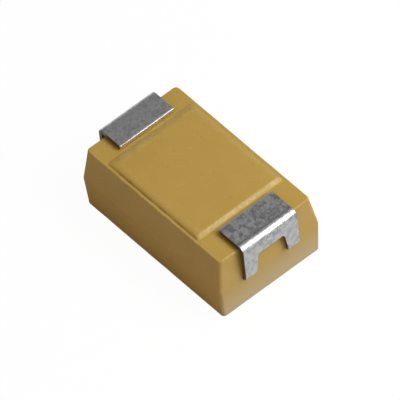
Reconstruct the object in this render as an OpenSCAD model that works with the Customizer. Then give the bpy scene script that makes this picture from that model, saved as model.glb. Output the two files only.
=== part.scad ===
// Moulded tantalum chip capacitor of the 7343 size, lying on its marked face with its solder pads up.
// X runs along the case, with the anode end at +X, and Y runs across it. The origin is on the
// marked face, under the middle of the case. All sizes are in millimetres.

/* [Case moulding] */
// Length of the case at its parting line
case_length = 6.96; // [6.6:0.02:7.4]
// Width of the case at its parting line
case_width = 4.35; // [4.1:0.05:4.7]
// Height of the shelf that the pads lie over, above the marked face
shelf_height = 2.69; // [2.65:0.01:2.9]
// Height of the parting line, at the middle of the leadframe strip
parting_height = 1.32; // [1.28:0.01:1.4]
// Height of the upright land that the two mould halves leave at the parting line
parting_land = 0.03; // [0.01:0.01:0.06]
// Draft of the end faces above the parting line, in degrees
upper_end_draft = 4.8; // [2:0.2:5.6]
// Draft of the long sides above the parting line, in degrees
upper_side_draft = 8.2; // [6:0.2:10]
// Draft of the end faces below the parting line, in degrees
lower_end_draft = 1.5; // [1:0.5:8]
// Draft of the long sides below the parting line, in degrees
lower_side_draft = 2.8; // [2:0.2:9]
// Radius of the four upright corners
corner_radius = 0.15; // [0.1:0.01:0.3]
// Radius of the edges round the shelf
shelf_edge_radius = 0.03; // [0.01:0.01:0.06]
// Radius of the edges round the marked face
marked_edge_radius = 0.06; // [0.02:0.01:0.1]

/* [Plateau between the pads] */
// Height of the plateau above the shelf
plateau_height = 0.1; // [0.05:0.01:0.14]
// Width of the shelf left along each long side
plateau_side_margin = 0.12; // [0.05:0.01:0.3]
// Width of the plateau's sloped edges beside the pads, seen from above
plateau_end_slope = 0.15; // [0.04:0.01:0.2]
// Width of the plateau's sloped edges along the sides, seen from above
plateau_side_slope = 0.24; // [0.04:0.01:0.3]
// Gap between the foot of the plateau and the anode pad
anode_pad_gap = 0.22; // [0.1:0.01:0.4]
// Gap between the foot of the plateau and the cathode pad
cathode_pad_gap = 0.1; // [0.05:0.01:0.4]

/* [Terminals] */
// Thickness of the leadframe strip
strip_thickness = 0.15; // [0.1:0.01:0.18]
// Width of both terminals
terminal_width = 2.35; // [2.2:0.05:2.6]
// Length of the anode's solder pad, with its bend
anode_pad_length = 1.26; // [1:0.01:1.4]
// Length of the cathode's solder pad, with its bend
cathode_pad_length = 1.12; // [1:0.01:1.4]
// Gap between the shelf and the underside of a pad
pad_standoff = 0.06; // [0.02:0.01:0.08]
// Gap between a leg and the case at the parting line
leg_clearance = 0.02; // [0.01:0.01:0.05]
// Inside radius of the terminals' bends
bend_radius = 0.06; // [0.03:0.01:0.12]

/* [Anode notch] */
// Width of the notch at its top
notch_top_width = 1.12; // [0.7:0.02:1.2]
// Width of the notch where the legs enter the case
notch_foot_width = 1.4; // [1.2:0.02:1.6]
// Height of the notch above the middle of the strip
notch_height = 0.91; // [0.6:0.01:1]
// Radius of the notch's two upper corners
notch_corner_radius = 0.14; // [0.05:0.01:0.2]
// Depth of the notch inside the case, where the moulding fills it
notch_depth_inside = 0.28; // [0.1:0.02:0.35]

/* [Anode tongue and weld] */
// Width of the tongue that the wire is welded to
tongue_width = 1.5; // [0.8:0.05:2]
// Length of the full-width web behind the notch
web_length = 0.3; // [0.2:0.02:0.35]
// Length of the tongue beyond the web
tongue_length = 0.55; // [0.4:0.05:0.6]
// Diameter of the tantalum riser wire
wire_diameter = 0.4; // [0.24:0.02:0.5]
// Depth to which welding has flattened the wire on the tongue
weld_flat = 0.05; // [0.02:0.01:0.08]
// Length of the wire that lies on the tongue
weld_length = 0.5; // [0.3:0.05:0.55]
// Depth of the wire inside the pellet
wire_depth = 2.6; // [1.5:0.1:3]

/* [Pellet and coats] */
// Length of the sintered pellet
pellet_length = 4.2; // [3.6:0.05:4.3]
// Width of the sintered pellet
pellet_width = 3.2; // [2.6:0.05:3.3]
// Height of the sintered pellet
pellet_height = 1.5; // [1.2:0.05:1.6]
// Radius of the pellet's four long edges
pellet_edge_radius = 0.12; // [0.05:0.01:0.3]
// Thickness of the manganese dioxide outside the pellet
dioxide_thickness = 0.05; // [0.03:0.01:0.08]
// Thickness of the graphite
graphite_thickness = 0.02; // [0.01:0.01:0.04]
// Thickness of the silver paint
silver_thickness = 0.03; // [0.02:0.01:0.05]
// Length of the pellet at the wire end that the graphite and silver stop short of
bare_band = 0.35; // [0.2:0.05:0.6]
// Outside diameter of the insulating washer
washer_diameter = 1; // [0.7:0.05:1.2]
// Thickness of the insulating washer
washer_thickness = 0.2; // [0.1:0.02:0.24]

/* [Cathode paddle] */
// Width of the paddle under the pellet
paddle_width = 2; // [1.4:0.05:2.15]
// Length of the paddle along the pellet
paddle_length = 3; // [2:0.1:3.6]
// Length of the straight strip inside the case before it is set down
entry_length = 0.26; // [0.15:0.01:0.3]
// Clearance between the strip where it is set down and the back of the coated pellet
joggle_gap = 0.13; // [0.05:0.01:0.2]
// Thickness of the silver adhesive between the paddle and the pellet
adhesive_thickness = 0.04; // [0.02:0.01:0.08]
// Margin of bare paddle round the adhesive
adhesive_margin = 0.15; // [0.05:0.05:0.3]
// Gap between the tip of the anode tongue and the washer, filled by the moulding
tongue_gap = 0.2; // [0.12:0.02:0.3]

/* [Hidden] */
$fn = 48;

// Steps round a quarter turn of a moulded corner, and up a rounded moulded edge
corner_steps = 8;
edge_steps = 4;
// How far a cut runs past the face that it opens
past = 0.5;

// Case
half_length = case_length / 2;
half_width = case_width / 2;
land_top = parting_height + parting_land / 2;
land_foot = parting_height - parting_land / 2;
upper_end_slope = tan(upper_end_draft);
upper_side_slope = tan(upper_side_draft);
lower_end_slope = tan(lower_end_draft);
lower_side_slope = tan(lower_side_draft);
shelf_half_width = half_width - (shelf_height - land_top) * upper_side_slope;
plateau_top = shelf_height + plateau_height;

// Terminals
leg_face = half_length + leg_clearance + strip_thickness;
pad_face = shelf_height + pad_standoff + strip_thickness;
strip_foot = parting_height - strip_thickness / 2;
strip_top = parting_height + strip_thickness / 2;
anode_pad_tip = leg_face - anode_pad_length;
cathode_pad_tip = leg_face - cathode_pad_length;
notch_back = half_length - notch_depth_inside;
tongue_root = notch_back - web_length;
tongue_tip = tongue_root - tongue_length;

// Plateau, from the gaps to the two pads
plateau_anode_foot = anode_pad_tip - anode_pad_gap;
plateau_cathode_foot = -cathode_pad_tip + cathode_pad_gap;
plateau_middle = (plateau_anode_foot + plateau_cathode_foot) / 2;
plateau_half_length = (plateau_anode_foot - plateau_cathode_foot) / 2;
plateau_half_width = shelf_half_width - plateau_side_margin;

// Pellet, hung from the wire that lies on the tongue
wire_height = strip_top + wire_diameter / 2 - weld_flat;
washer_face = tongue_tip - tongue_gap;
pellet_face = washer_face - washer_thickness;
pellet_back = pellet_face - pellet_length;
coat_thickness = dioxide_thickness + graphite_thickness + silver_thickness;

// Cathode strip, set down to lie under the coated pellet
paddle_top = wire_height - pellet_height / 2 - coat_thickness - adhesive_thickness;
paddle_middle = paddle_top - strip_thickness / 2;
joggle_start = -half_length + entry_length;
joggle_end = pellet_back - coat_thickness - joggle_gap;
joggle_angle = atan((parting_height - paddle_middle) / (joggle_end - joggle_start));
mitre = strip_thickness / 2 * tan(joggle_angle / 2);
joggle_lap = joggle_start - strip_thickness / 2;
paddle_tip = joggle_end + paddle_length;

// Colours
epoxy_colour = "#b5964d";
tin_colour = "#b4b5b2";
tantalum_colour = "#5c6068";
wire_colour = "#8b9098";
washer_colour = "#f0efe9";
dioxide_colour = "#2e2a28";
graphite_colour = "#3a3b3d";
silver_colour = "#c9cac8";
adhesive_colour = "#a8a9a6";

// Rounded rectangle at height z as one ring of points, counter-clockwise from above
function ring(z, middle, half_x, half_y, radius) = [
    for (corner = [0 : 3], step = [0 : corner_steps])
        let (
            turn = 90 * (corner + step / corner_steps),
            side_x = corner == 0 || corner == 3 ? 1 : -1,
            side_y = corner < 2 ? 1 : -1
        )
        [
            middle + side_x * (half_x - radius) + radius * cos(turn),
            side_y * (half_y - radius) + radius * sin(turn),
            z
        ]
];

// Ring of the case's outside at height z, pulled in by the draft and then by inset
function case_ring(z, inset = 0) =
    let (
        above = max(0, z - land_top),
        below = max(0, land_foot - z),
        end_inset = above * upper_end_slope + below * lower_end_slope + inset,
        side_inset = above * upper_side_slope + below * lower_side_slope + inset
    )
    ring(z, 0, half_length - end_inset, half_width - side_inset, corner_radius);

// Ring of the plateau's outside at height z, pulled in from its foot at the ends and at the sides
function plateau_ring(z, end_inset, side_inset) =
    ring(
        z, plateau_middle, plateau_half_length - end_inset, plateau_half_width - side_inset,
        corner_radius
    );

// Rings up a rounded edge, from the upright face to the flat one when going up
function upper_edge_rings(z, radius) = [
    for (step = [0 : edge_steps])
        let (turn = 90 * step / edge_steps)
        case_ring(z - radius + radius * sin(turn), radius * (1 - cos(turn)))
];
function lower_edge_rings(radius) = [
    for (step = [0 : edge_steps])
        let (turn = 90 * (1 - step / edge_steps))
        case_ring(radius - radius * sin(turn), radius * (1 - cos(turn)))
];

// Solid skinned over rings of equal count, from the lowest to the highest
module loft(rings) {
    count = len(rings[0]);
    top = count * (len(rings) - 1);
    sides = [
        for (level = [0 : len(rings) - 2], i = [0 : count - 1])
            let (
                a = level * count + i,
                b = level * count + (i + 1) % count
            )
            each [[a, b + count, b], [a, a + count, b + count]]
    ];
    foot_cap = [for (i = [0 : count - 1]) i];
    top_cap = [for (i = [count - 1 : -1 : 0]) top + i];
    polyhedron(points = [for (r = rings) each r], faces = concat([foot_cap], sides, [top_cap]));
}

// Points of an arc in the drawing plane
function arc(centre, radius, from, to, steps = 8) = [
    for (i = [0 : steps])
        let (turn = from + (to - from) * i / steps)
        centre + radius * [cos(turn), sin(turn)]
];

// Sets a profile drawn in X and Z upright and gives it its width along Y
module across(width) {
    rotate([90, 0, 0]) linear_extrude(width, center = true) children();
}

// Side view of a terminal filled in solid, from x = 0 out to the leg, pulled in by inset
module fold_outline(inset) {
    radius = bend_radius + strip_thickness - inset;
    end = leg_face - inset;
    foot = strip_foot + inset;
    top = pad_face - inset;
    translate([0, foot]) square([end - radius, top - foot]);
    translate([0, foot + radius]) square([end, top - foot - 2 * radius]);
    for (z = [foot + radius, top - radius]) translate([end - radius, z]) circle(radius);
}

// Side view of a terminal: pad from its tip, bend, leg, bend and the strip that runs in to inner_end
module fold_profile(pad_tip, inner_end) {
    difference() {
        fold_outline(0);
        fold_outline(strip_thickness);
        // the pad's tip
        translate([-past, strip_top]) square([pad_tip + past, pad_face]);
        // the strip's inner end
        translate([-past, strip_foot - past]) square([inner_end + past, strip_thickness + past]);
    }
}

// Flared opening between the anode's two legs, seen from the end, drawn in Y and Z
module notch_outline() {
    top = parting_height + notch_height;
    foot = strip_foot - past;
    half_top = notch_top_width / 2;
    flare = (notch_foot_width - notch_top_width) / 2 / notch_height;
    half_foot = half_top + flare * (top - foot);
    lean = atan(flare);
    // the corner's arc is tangent to the flat top and to the leaning side
    setback = notch_corner_radius * tan((90 - lean) / 2);
    centre = [half_top - setback, top - notch_corner_radius];
    right = concat([[half_foot, foot]], arc(centre, notch_corner_radius, lean, 90));
    left = [for (i = [len(right) - 1 : -1 : 0]) [-right[i][0], right[i][1]]];
    polygon(concat(right, left));
}

module anode_strip() {
    side_cut = (terminal_width - tongue_width) / 2;
    difference() {
        across(terminal_width) fold_profile(anode_pad_tip, tongue_tip);
        // the notch, from inside the case out through the leg
        translate([notch_back, 0, 0]) rotate([90, 0, 90])
            linear_extrude(leg_face + past - notch_back) notch_outline();
        // the two sides cut away to leave the tongue
        for (side = [-1, 1])
            translate([tongue_tip - past, side * (tongue_width / 2 + past) - past, strip_foot - past])
                cube([tongue_root - tongue_tip + past, 2 * past, strip_thickness + 2 * past]);
    }
}

// Side view of the strip set down from the parting line to the paddle
module joggle_profile() {
    half = strip_thickness / 2;
    polygon([
        [joggle_lap, parting_height - half],
        [joggle_start - mitre, parting_height - half],
        [joggle_end - mitre, paddle_middle - half],
        [paddle_tip, paddle_middle - half],
        [paddle_tip, paddle_middle + half],
        [joggle_end + mitre, paddle_middle + half],
        [joggle_start + mitre, parting_height + half],
        [joggle_lap, parting_height + half]
    ]);
}

module cathode_strip() {
    mirror([1, 0, 0]) across(terminal_width) fold_profile(cathode_pad_tip, -joggle_start);
    across(paddle_width) joggle_profile();
}

// Pellet's block, grown by a coat's thickness on its long faces and back and by front at its wire face
module pellet_block(grow, front) {
    radius = pellet_edge_radius + grow;
    half_y = pellet_width / 2 + grow;
    half_z = pellet_height / 2 + grow;
    translate([pellet_back - grow, 0, wire_height]) rotate([90, 0, 90])
        linear_extrude(pellet_length + grow + front) {
            square([2 * (half_y - radius), 2 * half_z], center = true);
            square([2 * half_y, 2 * (half_z - radius)], center = true);
            for (y = [-1, 1], z = [-1, 1])
                translate([y * (half_y - radius), z * (half_z - radius)]) circle(radius);
        }
}

// Wire along X, from start to end, flattened where it lies on the tongue
module wire_form() {
    start = pellet_face - wire_depth;
    end = tongue_tip + weld_length;
    difference() {
        translate([start, 0, wire_height]) rotate([0, 90, 0]) cylinder(d = wire_diameter, h = end - start);
        translate([tongue_tip, -wire_diameter, strip_top - wire_diameter])
            cube([weld_length + past, 2 * wire_diameter, wire_diameter]);
    }
}

module washer_form() {
    translate([pellet_face, 0, wire_height]) rotate([0, 90, 0])
        cylinder(d = washer_diameter, h = washer_thickness);
}

module adhesive_form() {
    start = pellet_back + adhesive_margin;
    half_y = paddle_width / 2 - adhesive_margin;
    translate([start, -half_y, paddle_top])
        cube([paddle_tip - adhesive_margin - start, 2 * half_y, adhesive_thickness]);
}

// Outside of the coated pellet, which the moulding is cast round
module coated_pellet() {
    pellet_block(dioxide_thickness, dioxide_thickness);
    pellet_block(coat_thickness, -bare_band);
}

module case_moulding() {
    color(epoxy_colour) difference() {
        loft(concat(
            lower_edge_rings(marked_edge_radius),
            [case_ring(land_foot), case_ring(land_top)],
            upper_edge_rings(shelf_height, shelf_edge_radius),
            [
                plateau_ring(shelf_height, 0, 0),
                plateau_ring(plateau_top, plateau_end_slope, plateau_side_slope)
            ]
        ));
        anode_strip();
        cathode_strip();
        coated_pellet();
        washer_form();
        wire_form();
        adhesive_form();
    }
}

module anode_terminal() {
    color(tin_colour) anode_strip();
}

module cathode_terminal() {
    color(tin_colour) cathode_strip();
}

module tantalum_pellet() {
    color(tantalum_colour) difference() {
        pellet_block(0, 0);
        wire_form();
    }
}

module riser_wire() {
    color(wire_colour) wire_form();
}

module insulating_washer() {
    color(washer_colour) difference() {
        washer_form();
        wire_form();
    }
}

module manganese_dioxide_coat() {
    color(dioxide_colour) difference() {
        pellet_block(dioxide_thickness, dioxide_thickness);
        pellet_block(0, 0);
        washer_form();
    }
}

module graphite_coat() {
    color(graphite_colour) difference() {
        pellet_block(dioxide_thickness + graphite_thickness, -bare_band);
        pellet_block(dioxide_thickness, dioxide_thickness);
    }
}

module silver_coat() {
    color(silver_colour) difference() {
        pellet_block(coat_thickness, -bare_band);
        pellet_block(dioxide_thickness + graphite_thickness, dioxide_thickness);
    }
}

module silver_adhesive() {
    color(adhesive_colour) adhesive_form();
}

case_moulding();
anode_terminal();
cathode_terminal();
tantalum_pellet();
riser_wire();
insulating_washer();
manganese_dioxide_coat();
graphite_coat();
silver_coat();
silver_adhesive();
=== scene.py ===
"""Dresses the moulded tantalum chip capacitor: its epoxy case, folded tinned strips and inner pieces."""
import math

import bmesh
import bpy
from mathutils import Matrix, Vector, noise


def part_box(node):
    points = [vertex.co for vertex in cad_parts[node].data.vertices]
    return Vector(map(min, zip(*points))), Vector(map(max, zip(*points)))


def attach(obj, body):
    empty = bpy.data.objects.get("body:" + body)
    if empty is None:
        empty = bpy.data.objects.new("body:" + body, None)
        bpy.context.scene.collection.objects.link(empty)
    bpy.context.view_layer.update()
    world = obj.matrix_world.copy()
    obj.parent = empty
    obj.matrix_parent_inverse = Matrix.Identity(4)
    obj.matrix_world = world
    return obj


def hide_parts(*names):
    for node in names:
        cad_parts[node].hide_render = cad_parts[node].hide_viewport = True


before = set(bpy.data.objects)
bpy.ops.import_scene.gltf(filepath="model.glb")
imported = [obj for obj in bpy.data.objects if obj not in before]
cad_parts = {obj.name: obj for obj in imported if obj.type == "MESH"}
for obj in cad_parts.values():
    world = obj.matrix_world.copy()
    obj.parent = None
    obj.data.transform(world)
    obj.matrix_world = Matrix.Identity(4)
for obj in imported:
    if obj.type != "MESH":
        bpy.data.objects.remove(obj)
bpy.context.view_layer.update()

bl_info = {
    "name": "Tantalum Chip Capacitor",
    "version": (1, 0, 0),
    "blender": (4, 5, 0),
    "location": "3D View > Sidebar > Capacitor",
    "description": "Builds the case, terminals, inner pieces and stage of a moulded chip capacitor",
    "category": "Add Mesh",
}

MM = 0.001
RING_STEPS = (44, 70)  # steps along each short and each long side of the case's rings
CASE_LOW, CASE_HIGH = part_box("case_moulding")
ANODE_LOW, ANODE_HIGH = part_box("anode_terminal")
CATHODE_LOW, CATHODE_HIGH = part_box("cathode_terminal")


def length(name, description, default, **more):
    """A size in metres, shown with its unit."""
    return bpy.props.FloatProperty(
        name=name, description=description, default=default, unit="LENGTH", precision=6, **more
    )


def angle(name, description, degrees):
    """An angle, given in degrees and kept in radians."""
    return bpy.props.FloatProperty(
        name=name, description=description, default=math.radians(degrees), subtype="ANGLE"
    )


def colour(name, description, default):
    """A colour in linear light."""
    return bpy.props.FloatVectorProperty(
        name=name, description=description, default=default, size=3, subtype="COLOR", min=0, max=1
    )


def share(name, description, default, high=1.0):
    """A plain number from 0 up."""
    return bpy.props.FloatProperty(
        name=name, description=description, default=default, min=0, max=high, subtype="FACTOR"
    )


class CaseSettings(bpy.types.PropertyGroup):
    """Form of the moulded case."""

    shelf_height: length("Shelf Height", "Height of the shelf the pads lie over", 2.69 * MM)
    parting_height: length("Parting Height", "Height of the parting line", 1.32 * MM)
    parting_land: length("Parting Land", "Upright band at the parting line", 0.03 * MM)
    upper_end_draft: angle("Upper End Draft", "Draft of the ends above the parting line", 4.8)
    upper_side_draft: angle("Upper Side Draft", "Draft of the sides above the parting line", 8.2)
    lower_end_draft: angle("Lower End Draft", "Draft of the ends below the parting line", 1.5)
    lower_side_draft: angle("Lower Side Draft", "Draft of the sides below the parting line", 2.8)
    corner_radius: length("Corner Radius", "Radius of the upright corners at the shelf", 0.15 * MM)
    parting_corner: length("Parting Corner", "Radius of the corners at the parting line", 0.1 * MM)
    marked_corner: length("Marked Corner", "Radius of the corners at the marked face", 0.13 * MM)
    shelf_edge: length("Shelf Edge", "Radius of the edges round the shelf", 0.04 * MM)
    marked_edge: length("Marked Edge", "Radius of the edges round the marked face", 0.06 * MM)
    plateau_margin: length("Plateau Margin", "Shelf left along each long side", 0.12 * MM)
    end_slope: length("End Slope", "Width of the plateau's slopes beside the pads", 0.15 * MM)
    far_slope: length("Far Slope", "Width of the gentler slope towards the cathode pad", 0.3 * MM)
    side_slope: length("Side Slope", "Width of the plateau's slopes along the sides", 0.24 * MM)
    anode_gap: length("Anode Gap", "Gap between the plateau and the anode pad", 0.22 * MM)
    cathode_gap: length("Cathode Gap", "Gap between the plateau and the cathode pad", 0.1 * MM)
    flash_radius: length("Flash Radius", "Radius of the moulding flash at the parting line", 0.01 * MM)
    flash_rise: length("Flash Rise", "How far the flash stands out of the case", 0.005 * MM)
    waviness: length("Waviness", "Unevenness of the moulded faces and edges", 0.004 * MM)


class StripSettings(bpy.types.PropertyGroup):
    """Form of the two folded leadframe strips."""

    thickness: length("Thickness", "Thickness of the strip", 0.15 * MM)
    anode_pad: length("Anode Pad", "Length of the anode's pad with its bend", 1.26 * MM)
    cathode_pad: length("Cathode Pad", "Length of the cathode's pad with its bend", 1.12 * MM)
    bend_radius: length("Bend Radius", "Inside radius of the bends", 0.06 * MM)
    edge_round: length("Edge Round", "Rounding of the strip's edges under the tin", 0.014 * MM)
    unevenness: length("Unevenness", "Unevenness of the tin", 0.004 * MM)
    notch_top: length("Notch Top", "Width of the notch at its top", 1.12 * MM)
    notch_foot: length("Notch Foot", "Width of the notch where the legs enter the case", 1.4 * MM)
    notch_height: length("Notch Height", "Height of the notch above the strip", 0.91 * MM)
    notch_corner: length("Notch Corner", "Radius of the notch's upper corners", 0.14 * MM)
    notch_inside: length("Notch Inside", "Depth of the notch inside the case", 0.28 * MM)
    web_length: length("Web Length", "Full-width web behind the notch", 0.3 * MM)
    tongue_width: length("Tongue Width", "Width of the tongue under the wire", 1.5 * MM)
    paddle_width: length("Paddle Width", "Width of the paddle under the pellet", 2.0 * MM)
    entry_length: length("Entry Length", "Straight strip inside the case before it is set down", 0.26 * MM)
    paddle_length: length("Paddle Length", "Length of the paddle", 3.0 * MM)


class FinishSettings(bpy.types.PropertyGroup):
    """Colours and gloss of the finishes."""

    epoxy: colour("Epoxy", "Gold-tan moulding compound", (0.452, 0.296, 0.064))
    epoxy_dark: colour("Epoxy Dark", "Compound in its darker clouds and pits", (0.33, 0.2, 0.045))
    # epoxy_pale also paints the highlights on the rounded edges and on the plateau's slopes beside the pads,
    # over real edge wear
    epoxy_pale: colour("Epoxy Pale", "Compound where edges are rubbed", (0.56, 0.42, 0.17))
    # painted reflection of the bright floor, paler low on the anode end
    epoxy_floor_reflection: colour("Epoxy Floor Reflection", "Compound paler towards the foot of the ends",
                           (0.47, 0.392, 0.238))
    # painted shade in the groove beside the plateau and along the parting line
    epoxy_groove_shade: colour("Epoxy Groove Shade", "Compound in the groove beside the plateau", (0.19, 0.1, 0.022))
    epoxy_roughness: share("Epoxy Roughness", "Roughness of the moulded surface", 0.48)
    tin: colour("Tin", "Tin plate", (0.62, 0.625, 0.625))
    # tin_dark also paints the shade on the pad just before each bend
    tin_dark: colour("Tin Dark", "Darker patches of the tin plate", (0.23, 0.233, 0.236))
    # tin_highlight paints the highlight over the bends and on the pad tips
    tin_highlight: colour("Tin Bright", "Tin drawn bright over the bends and tips", (0.75, 0.75, 0.745))
    # the cut sides are painted dark, as bare edges and as the shade on the side faces
    tin_sheared_and_shade: colour("Tin Sheared And Shaded", "Sheared edges of the strip", (0.13, 0.105, 0.08))
    tin_roughness: share("Tin Roughness", "Roughness of the tin plate", 0.36)
    band: colour("Polarity Band", "Mark across the marked face at the anode end", (0.2, 0.12, 0.035))
    tantalum: colour("Tantalum", "Sintered tantalum", (0.11, 0.12, 0.14))
    wire: colour("Wire", "Drawn tantalum wire", (0.35, 0.37, 0.41))
    washer: colour("Washer", "Insulating washer", (0.85, 0.84, 0.8))
    dioxide: colour("Manganese Dioxide", "Manganese dioxide", (0.026, 0.021, 0.019))
    graphite: colour("Graphite", "Graphite coat", (0.045, 0.046, 0.05))
    silver: colour("Silver Paint", "Silver paint", (0.6, 0.6, 0.58))
    adhesive: colour("Silver Adhesive", "Silver-filled adhesive", (0.38, 0.38, 0.37))


class StageSettings(bpy.types.PropertyGroup):
    """Floor, camera and light."""

    azimuth: angle("Azimuth", "Direction the camera looks from, round the part", 53.95)
    elevation: angle("Elevation", "Height of the camera above the horizon", 50.5)
    roll: angle("Roll", "Roll of the camera", -6.4)
    frame_width: length("Frame Width", "Width of what the camera sees at the part", 13.191 * MM)
    aim_right: length("Aim Right", "Shift of the aim to the camera's right", -0.0185 * MM)
    aim_up: length("Aim Up", "Shift of the aim upwards in the camera's view", -0.0428 * MM)
    aim_height: length("Aim Height", "Height of the aim above the floor", 1.4 * MM)
    lens: bpy.props.FloatProperty(name="Lens", description="Focal length in millimetres", default=1600)
    floor_shade: share("Floor Shade", "How much of the floor's true shading the camera sees", 0.035)
    floor_mirror: share("Floor Mirror", "Brightness of the floor as the part mirrors it", 0.78)
    sky: share("Sky", "Brightness of the room above", 0.23)
    key: share("Key", "Strength of the key lamp", 0.86, high=4.0)
    top: share("Top", "Strength of the overhead lamp", 0.15, high=4.0)


SETTINGS = {
    "capacitor_case": CaseSettings,
    "capacitor_strip": StripSettings,
    "capacitor_finish": FinishSettings,
    "capacitor_stage": StageSettings,
}


# ---------------------------------------------------------------- node helpers


def link_in(tree, socket, value):
    """Joins a socket to another, or sets it to a value."""
    if isinstance(value, bpy.types.NodeSocket):
        tree.links.new(value, socket)
    else:
        socket.default_value = value


def add_node(tree, kind, inputs=(), **fields):
    """Adds a node with its fields set and its inputs joined or set by name or number."""
    node = tree.nodes.new(kind)
    for field, value in fields.items():
        setattr(node, field, value)
    for name, value in dict(inputs).items():
        link_in(tree, node.inputs[name], value)
    return node


def math_node(tree, operation, first, second=0.0, clamp=False):
    """A Math node's output."""
    node = add_node(tree, "ShaderNodeMath", {0: first, 1: second}, operation=operation, use_clamp=clamp)
    return node.outputs[0]


def ramp(tree, value, low, high, low_out=0.0, high_out=1.0):
    """Value taken smoothly from its range low..high to low_out..high_out."""
    node = add_node(
        tree, "ShaderNodeMapRange",
        {0: value, 1: low, 2: high, 3: low_out, 4: high_out},
        interpolation_type="SMOOTHSTEP",
    )
    return node.outputs[0]


def blend(tree, factor, first, second):
    """Two colours mixed by a factor."""
    node = tree.nodes.new("ShaderNodeMix")
    node.data_type = "RGBA"
    link_in(tree, node.inputs[0], factor)
    for socket, value in ((node.inputs[6], first), (node.inputs[7], second)):
        link_in(tree, socket, value if isinstance(value, bpy.types.NodeSocket) else (*value, 1.0))
    return node.outputs[2]


def layered(tree, tone, layers):
    """A colour with others laid over it, each by its mask and the share of the mask that shows."""
    for mask, shown, over in layers:
        tone = blend(tree, math_node(tree, "MULTIPLY", mask, shown, clamp=True), tone, over)
    return tone


def noise_value(tree, vector, scale, detail=3.0, roughness=0.55, distortion=0.0):
    """Noise at a scale given per millimetre."""
    node = add_node(
        tree, "ShaderNodeTexNoise",
        {"Vector": vector, "Scale": scale, "Detail": detail, "Roughness": roughness,
         "Distortion": distortion},
    )
    return node.outputs["Fac"]


def new_group(name, inputs, outputs):
    """A shader node group with float inputs and their defaults, and typed outputs."""
    tree = bpy.data.node_groups.new(name, "ShaderNodeTree")
    for label, default in inputs.items():
        socket = tree.interface.new_socket(label, in_out="INPUT", socket_type="NodeSocketFloat")
        socket.default_value = default
    for label, kind in outputs.items():
        tree.interface.new_socket(label, in_out="OUTPUT", socket_type=kind)
    return tree, tree.nodes.new("NodeGroupInput"), tree.nodes.new("NodeGroupOutput")


def millimetres(tree):
    """Object coordinates in millimetres."""
    where = tree.nodes.new("ShaderNodeTexCoord")
    scaled = add_node(tree, "ShaderNodeVectorMath", {0: where.outputs["Object"]}, operation="SCALE")
    scaled.inputs["Scale"].default_value = 1 / MM
    return scaled.outputs[0]


def grain_group():
    """Fine grain of a cast, pressed or sintered surface: clouds, pits, pale grains and height."""
    tree, into, out = new_group(
        "fine_grain",
        {"Grain per mm": 26.0, "Cloud per mm": 1.1, "Pit Share": 0.3},
        {"Clouds": "NodeSocketFloat", "Pits": "NodeSocketFloat", "Pale Grains": "NodeSocketFloat",
         "Height": "NodeSocketFloat"},
    )
    where = millimetres(tree)
    grain = noise_value(tree, where, into.outputs["Grain per mm"], 4.0, 0.62)
    clouds = noise_value(tree, where, into.outputs["Cloud per mm"], 4.0, 0.6, 0.3)
    pit_scale = math_node(tree, "MULTIPLY", into.outputs["Grain per mm"], 0.24)
    pit_cells = add_node(
        tree, "ShaderNodeTexVoronoi", {"Vector": where, "Scale": pit_scale, "Randomness": 1.0}
    )
    cell_pick = add_node(tree, "ShaderNodeSeparateColor", {0: pit_cells.outputs["Color"]})
    near_centre = ramp(tree, pit_cells.outputs["Distance"], 0.12, 0.3, 1.0, 0.0)
    pit_limit = math_node(tree, "SUBTRACT", 1.0, into.outputs["Pit Share"])
    chosen = math_node(tree, "GREATER_THAN", cell_pick.outputs[0], pit_limit)
    pits = math_node(tree, "MULTIPLY", near_centre, chosen)
    pale_chosen = math_node(tree, "GREATER_THAN", cell_pick.outputs[1], 0.86)
    pale = math_node(tree, "MULTIPLY", near_centre, pale_chosen)
    lowered = math_node(tree, "MULTIPLY", pits, -0.5)
    height = math_node(tree, "ADD", grain, lowered)
    for label, value in (("Clouds", clouds), ("Pits", pits), ("Pale Grains", pale), ("Height", height)):
        tree.links.new(value, out.inputs[label])
    return tree


def mottle_group():
    """Mottle of a plated or painted metal: patches, streaks, gloss and height."""
    tree, into, out = new_group(
        "metal_mottle",
        {"Patch per mm": 3.2, "Fleck per mm": 17.0, "Contrast": 1.0},
        {"Dark": "NodeSocketFloat", "Gloss": "NodeSocketFloat", "Height": "NodeSocketFloat"},
    )
    where = millimetres(tree)
    patches = noise_value(tree, where, into.outputs["Patch per mm"], 3.0, 0.62, 0.25)
    flecks = noise_value(tree, where, into.outputs["Fleck per mm"], 3.0, 0.65, 0.5)
    patch_dark = ramp(tree, patches, 0.42, 0.66)
    fleck_dark = ramp(tree, flecks, 0.45, 0.7)
    both = math_node(tree, "ADD", math_node(tree, "MULTIPLY", patch_dark, 0.6),
                     math_node(tree, "MULTIPLY", fleck_dark, 0.5))
    dark = math_node(tree, "MULTIPLY", both, into.outputs["Contrast"], clamp=True)
    gloss = ramp(tree, patches, 0.3, 0.7, -1.0, 1.0)
    height = math_node(tree, "ADD", math_node(tree, "MULTIPLY", patches, 0.8),
                       math_node(tree, "MULTIPLY", flecks, 0.35))
    for label, value in (("Dark", dark), ("Gloss", gloss), ("Height", height)):
        tree.links.new(value, out.inputs[label])
    return tree


def shared_group(name, builder):
    """The named node group, built once."""
    return bpy.data.node_groups.get(name) or builder()


def new_material(name, roughness, metallic=0.0, specular=0.5):
    """A material with its tree, its Principled shader and plain values set on the shader."""
    made = bpy.data.materials.new(name)
    made.use_nodes = True
    tree = made.node_tree
    shader = tree.nodes["Principled BSDF"]
    shader.inputs["Roughness"].default_value = roughness
    shader.inputs["Metallic"].default_value = metallic
    shader.inputs["Specular IOR Level"].default_value = specular
    return made, tree, shader


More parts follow.
